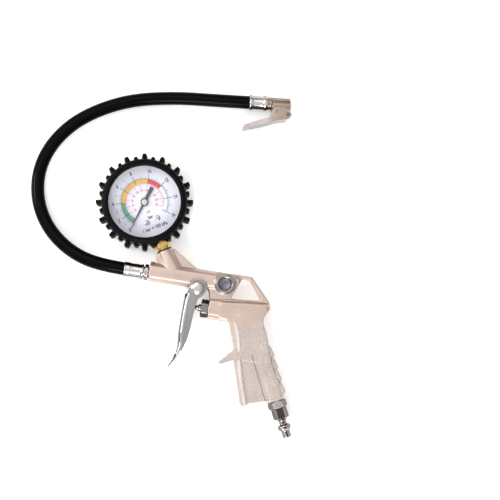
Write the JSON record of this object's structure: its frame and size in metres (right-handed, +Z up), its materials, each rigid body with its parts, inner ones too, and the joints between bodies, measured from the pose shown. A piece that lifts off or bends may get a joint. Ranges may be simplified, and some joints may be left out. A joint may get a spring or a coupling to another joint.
{
  "type": "tyre inflator with gauge",
  "caption": "Hand-held tyre inflator: pistol grip with lever trigger and bleed button, leaning dial gauge in a rubber boot, short hose and clip-on chuck.",
  "frame": {"origin": "middle of the gun's and gauge's footprint, on the surface the tool lies on", "axes": "+X along the barrel towards the rear hook, +Y towards the gauge, +Z up out of the side that faces the viewer, through the dial"},
  "size_m": [0.2641, 0.3027, 0.033],
  "materials": {
    "die_cast": "satin warm nickel-grey paint over die-cast alloy, stippled on the grip",
    "trigger_steel": "polished plate",
    "rivet_steel": "bright",
    "dark_steel": "dark oxide",
    "brass": "turned",
    "bronze": "drawn",
    "bronze_mesh": "sintered",
    "black_rubber": "matt",
    "boot_rubber": "matt moulded",
    "hose_rubber": "glossy, smooth cover",
    "spring_steel": "drawn wire",
    "button_metal": "satin blue-grey",
    "nickel": "nickel plate",
    "chrome": "bright plate",
    "chuck_nickel": "warm nickel plate",
    "case_steel": "black",
    "bezel_black": "black",
    "lens": "clear",
    "dial_white": "printed white",
    "needle_grey": "dark grey paint",
    "cap_beige": "satin"
  },
  "bodies": {
    "gun": {"gun_body": "die_cast", "trigger_pin": "rivet_steel", "gland_nut": "dark_steel", "valve_seat": "brass", "button_ring": "nickel", "button_spring": "spring_steel", "valve_spring": "spring_steel", "inlet_collar": "nickel", "air_plug": "nickel", "inlet_filter": "bronze_mesh", "gauge_boot": "boot_rubber", "gauge_case": "case_steel", "lens_gasket": "black_rubber", "gauge_lens": "lens", "bezel_ring": "bezel_black", "dial_plate": "dial_white", "dial_screws": "nickel", "gauge_stem": "brass", "gauge_seal_ring": "black_rubber", "movement_back": "brass", "movement_front": "brass", "movement_posts": "brass", "hairspring": "spring_steel", "bourdon_tube": "bronze", "link_rod": "brass", "stop_pin": "brass", "hose_tail": "dark_steel", "hose_ferrule": "chrome", "hose": "hose_rubber", "chuck_tail": "brass", "chuck_ferrule": "chrome", "chuck_body": "chuck_nickel", "chuck_seal": "black_rubber", "valve_depressor": "brass", "chuck_pin": "rivet_steel", "chuck_spring": "spring_steel"},
    "trigger": {"trigger": "trigger_steel"},
    "valve": {"valve_stem": "dark_steel", "valve_poppet": "brass", "valve_seal": "black_rubber"},
    "button": {"deflate_button": "button_metal", "bleed_pin": "brass"},
    "chuck_lever": {"chuck_lever": "chuck_nickel", "chuck_claw": "dark_steel"},
    "sector": {"sector_gear": "brass"},
    "needle": {"pinion": "brass", "needle": "needle_grey", "needle_cap": "cap_beige"}
  },
  "joints": [
    {"name": "trigger_hinge", "type": "hinge", "parent": "gun", "child": "trigger", "pos_m": [-0.00076, 0.00474, 0.014], "axis": [0, 0, 1], "range_deg": [0, 12.5], "stiffness_Nm_per_rad": 0.6, "springref_deg": -17.19},
    {"name": "valve_slide", "type": "slide", "parent": "gun", "child": "valve", "axis": [1, 0, 0], "range_m": [0, 0.0038], "deforming": ["valve_spring"]},
    {"name": "button_slide", "type": "slide", "parent": "gun", "child": "button", "axis": [0, 0, -1], "range_m": [0, 0.0016], "stiffness_N_per_m": 800, "springref_m": -0.001, "deforming": ["button_spring"]},
    {"name": "chuck_lever_hinge", "type": "hinge", "parent": "gun", "child": "chuck_lever", "pos_m": [0.04444, 0.17257, 0.0094], "axis": [0, 0, 1], "range_deg": [-14, 0], "stiffness_Nm_per_rad": 0.3, "springref_deg": 17.19, "deforming": ["chuck_spring"]},
    {"name": "sector_hinge", "type": "hinge", "parent": "gun", "child": "sector", "pos_m": [-0.06614, 0.05614, 0.011], "axis": [0, 0, 1], "range_deg": [0, 33.1], "stiffness_Nm_per_rad": 0.002, "springref_deg": -2.86},
    {"name": "needle_spin", "type": "hinge", "parent": "gun", "child": "needle", "pos_m": [-0.05896, 0.07264, 0.022], "axis": [0, 0, 1], "range_deg": [-265.5, 0]}
  ],
  "couplings": [
    {"joint": "valve_slide", "follows": "trigger_hinge", "m_per_rad": 0.017},
    {"joint": "needle_spin", "follows": "sector_hinge", "ratio": -8}
  ]
}
